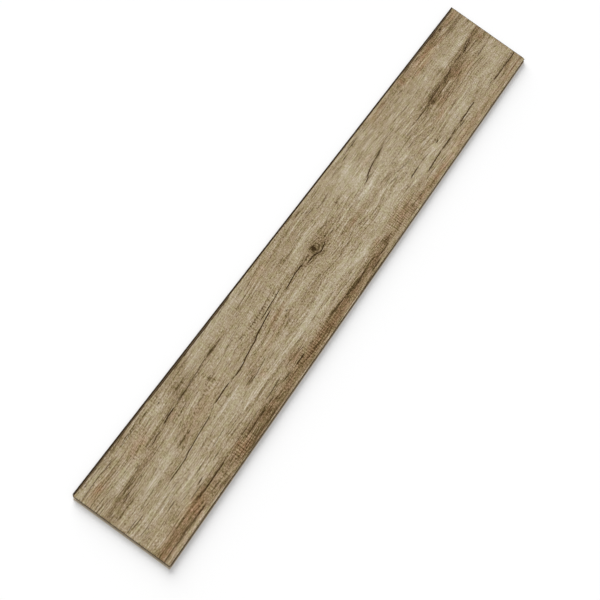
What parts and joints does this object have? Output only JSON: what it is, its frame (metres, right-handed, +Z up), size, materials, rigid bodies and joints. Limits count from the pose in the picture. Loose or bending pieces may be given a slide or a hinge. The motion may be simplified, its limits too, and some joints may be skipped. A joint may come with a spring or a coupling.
{
  "type": "laminate floor plank",
  "caption": "Rectangular laminate floor plank with a pale, weathered wood decor, a dark bevel round the top, and tongue and groove click joints milled on its sides and ends.",
  "frame": {"origin": "on the underside, below the centre of the face that shows once the floor is laid", "axes": "+X along the plank towards its tongue end, +Y across it towards its tongue side, +Z up out of the decor"},
  "size_m": [1.2904, 0.1974, 0.008],
  "materials": {
    "board": "satin laminate with a pale greyish brown wood decor over a brown fibre board"
  },
  "bodies": {
    "root": {"plank": "board"}
  },
  "joints": []
}
